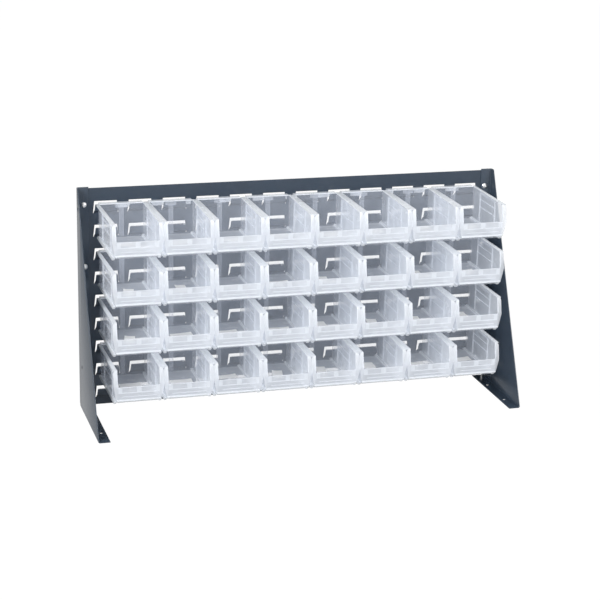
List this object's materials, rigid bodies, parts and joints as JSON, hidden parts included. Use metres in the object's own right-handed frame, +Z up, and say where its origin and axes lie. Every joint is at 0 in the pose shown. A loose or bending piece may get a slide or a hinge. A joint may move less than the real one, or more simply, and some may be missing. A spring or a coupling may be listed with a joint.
{
  "type": "bench bin rack",
  "caption": "Bench-top louvered steel panel on two sloped sheet legs, holding rows of clear hopper-front storage bins that hook on and lift off.",
  "frame": {"origin": "centre of the rack's footprint box, on the bench surface", "axes": "+X to the right along the rack, +Y to the back, +Z up; the bins open towards -Y"},
  "size_m": [0.921, 0.238, 0.4797],
  "materials": {
    "powder_coat": "smooth dark blue-grey gloss powder coat",
    "zinc": "bright zinc plate",
    "clear_plastic": "clear, slightly milky moulded polypropylene"
  },
  "bodies": {
    "rack": {"louvered_panel": "powder_coat", "left_leg": "powder_coat", "right_leg": "powder_coat", "panel_bolts": "zinc", "washers": "zinc", "nuts": "zinc"},
    "bin_row1_col1": {"bin_row1_col1": "clear_plastic"},
    "bin_row1_col2": {"bin_row1_col2": "clear_plastic"},
    "bin_row1_col3": {"bin_row1_col3": "clear_plastic"},
    "bin_row1_col4": {"bin_row1_col4": "clear_plastic"},
    "bin_row1_col5": {"bin_row1_col5": "clear_plastic"},
    "bin_row1_col6": {"bin_row1_col6": "clear_plastic"},
    "bin_row1_col7": {"bin_row1_col7": "clear_plastic"},
    "bin_row1_col8": {"bin_row1_col8": "clear_plastic"},
    "bin_row2_col1": {"bin_row2_col1": "clear_plastic"},
    "bin_row2_col2": {"bin_row2_col2": "clear_plastic"},
    "bin_row2_col3": {"bin_row2_col3": "clear_plastic"},
    "bin_row2_col4": {"bin_row2_col4": "clear_plastic"},
    "bin_row2_col5": {"bin_row2_col5": "clear_plastic"},
    "bin_row2_col6": {"bin_row2_col6": "clear_plastic"},
    "bin_row2_col7": {"bin_row2_col7": "clear_plastic"},
    "bin_row2_col8": {"bin_row2_col8": "clear_plastic"},
    "bin_row3_col1": {"bin_row3_col1": "clear_plastic"},
    "bin_row3_col2": {"bin_row3_col2": "clear_plastic"},
    "bin_row3_col3": {"bin_row3_col3": "clear_plastic"},
    "bin_row3_col4": {"bin_row3_col4": "clear_plastic"},
    "bin_row3_col5": {"bin_row3_col5": "clear_plastic"},
    "bin_row3_col6": {"bin_row3_col6": "clear_plastic"},
    "bin_row3_col7": {"bin_row3_col7": "clear_plastic"},
    "bin_row3_col8": {"bin_row3_col8": "clear_plastic"},
    "bin_row4_col1": {"bin_row4_col1": "clear_plastic"},
    "bin_row4_col2": {"bin_row4_col2": "clear_plastic"},
    "bin_row4_col3": {"bin_row4_col3": "clear_plastic"},
    "bin_row4_col4": {"bin_row4_col4": "clear_plastic"},
    "bin_row4_col5": {"bin_row4_col5": "clear_plastic"},
    "bin_row4_col6": {"bin_row4_col6": "clear_plastic"},
    "bin_row4_col7": {"bin_row4_col7": "clear_plastic"},
    "bin_row4_col8": {"bin_row4_col8": "clear_plastic"}
  },
  "joints": [
    {"name": "lift_row1_col1", "type": "slide", "parent": "rack", "child": "bin_row1_col1", "axis": [0, 0, 1], "range_m": [0, 0.016]},
    {"name": "lift_row1_col2", "type": "slide", "parent": "rack", "child": "bin_row1_col2", "axis": [0, 0, 1], "range_m": [0, 0.016]},
    {"name": "lift_row1_col3", "type": "slide", "parent": "rack", "child": "bin_row1_col3", "axis": [0, 0, 1], "range_m": [0, 0.016]},
    {"name": "lift_row1_col4", "type": "slide", "parent": "rack", "child": "bin_row1_col4", "axis": [0, 0, 1], "range_m": [0, 0.016]},
    {"name": "lift_row1_col5", "type": "slide", "parent": "rack", "child": "bin_row1_col5", "axis": [0, 0, 1], "range_m": [0, 0.016]},
    {"name": "lift_row1_col6", "type": "slide", "parent": "rack", "child": "bin_row1_col6", "axis": [0, 0, 1], "range_m": [0, 0.016]},
    {"name": "lift_row1_col7", "type": "slide", "parent": "rack", "child": "bin_row1_col7", "axis": [0, 0, 1], "range_m": [0, 0.016]},
    {"name": "lift_row1_col8", "type": "slide", "parent": "rack", "child": "bin_row1_col8", "axis": [0, 0, 1], "range_m": [0, 0.016]},
    {"name": "lift_row2_col1", "type": "slide", "parent": "rack", "child": "bin_row2_col1", "axis": [0, 0, 1], "range_m": [0, 0.016]},
    {"name": "lift_row2_col2", "type": "slide", "parent": "rack", "child": "bin_row2_col2", "axis": [0, 0, 1], "range_m": [0, 0.016]},
    {"name": "lift_row2_col3", "type": "slide", "parent": "rack", "child": "bin_row2_col3", "axis": [0, 0, 1], "range_m": [0, 0.016]},
    {"name": "lift_row2_col4", "type": "slide", "parent": "rack", "child": "bin_row2_col4", "axis": [0, 0, 1], "range_m": [0, 0.016]},
    {"name": "lift_row2_col5", "type": "slide", "parent": "rack", "child": "bin_row2_col5", "axis": [0, 0, 1], "range_m": [0, 0.016]},
    {"name": "lift_row2_col6", "type": "slide", "parent": "rack", "child": "bin_row2_col6", "axis": [0, 0, 1], "range_m": [0, 0.016]},
    {"name": "lift_row2_col7", "type": "slide", "parent": "rack", "child": "bin_row2_col7", "axis": [0, 0, 1], "range_m": [0, 0.016]},
    {"name": "lift_row2_col8", "type": "slide", "parent": "rack", "child": "bin_row2_col8", "axis": [0, 0, 1], "range_m": [0, 0.016]},
    {"name": "lift_row3_col1", "type": "slide", "parent": "rack", "child": "bin_row3_col1", "axis": [0, 0, 1], "range_m": [0, 0.016]},
    {"name": "lift_row3_col2", "type": "slide", "parent": "rack", "child": "bin_row3_col2", "axis": [0, 0, 1], "range_m": [0, 0.016]},
    {"name": "lift_row3_col3", "type": "slide", "parent": "rack", "child": "bin_row3_col3", "axis": [0, 0, 1], "range_m": [0, 0.016]},
    {"name": "lift_row3_col4", "type": "slide", "parent": "rack", "child": "bin_row3_col4", "axis": [0, 0, 1], "range_m": [0, 0.016]},
    {"name": "lift_row3_col5", "type": "slide", "parent": "rack", "child": "bin_row3_col5", "axis": [0, 0, 1], "range_m": [0, 0.016]},
    {"name": "lift_row3_col6", "type": "slide", "parent": "rack", "child": "bin_row3_col6", "axis": [0, 0, 1], "range_m": [0, 0.016]},
    {"name": "lift_row3_col7", "type": "slide", "parent": "rack", "child": "bin_row3_col7", "axis": [0, 0, 1], "range_m": [0, 0.016]},
    {"name": "lift_row3_col8", "type": "slide", "parent": "rack", "child": "bin_row3_col8", "axis": [0, 0, 1], "range_m": [0, 0.016]},
    {"name": "lift_row4_col1", "type": "slide", "parent": "rack", "child": "bin_row4_col1", "axis": [0, 0, 1], "range_m": [0, 0.016]},
    {"name": "lift_row4_col2", "type": "slide", "parent": "rack", "child": "bin_row4_col2", "axis": [0, 0, 1], "range_m": [0, 0.016]},
    {"name": "lift_row4_col3", "type": "slide", "parent": "rack", "child": "bin_row4_col3", "axis": [0, 0, 1], "range_m": [0, 0.016]},
    {"name": "lift_row4_col4", "type": "slide", "parent": "rack", "child": "bin_row4_col4", "axis": [0, 0, 1], "range_m": [0, 0.016]},
    {"name": "lift_row4_col5", "type": "slide", "parent": "rack", "child": "bin_row4_col5", "axis": [0, 0, 1], "range_m": [0, 0.016]},
    {"name": "lift_row4_col6", "type": "slide", "parent": "rack", "child": "bin_row4_col6", "axis": [0, 0, 1], "range_m": [0, 0.016]},
    {"name": "lift_row4_col7", "type": "slide", "parent": "rack", "child": "bin_row4_col7", "axis": [0, 0, 1], "range_m": [0, 0.016]},
    {"name": "lift_row4_col8", "type": "slide", "parent": "rack", "child": "bin_row4_col8", "axis": [0, 0, 1], "range_m": [0, 0.016]}
  ]
}
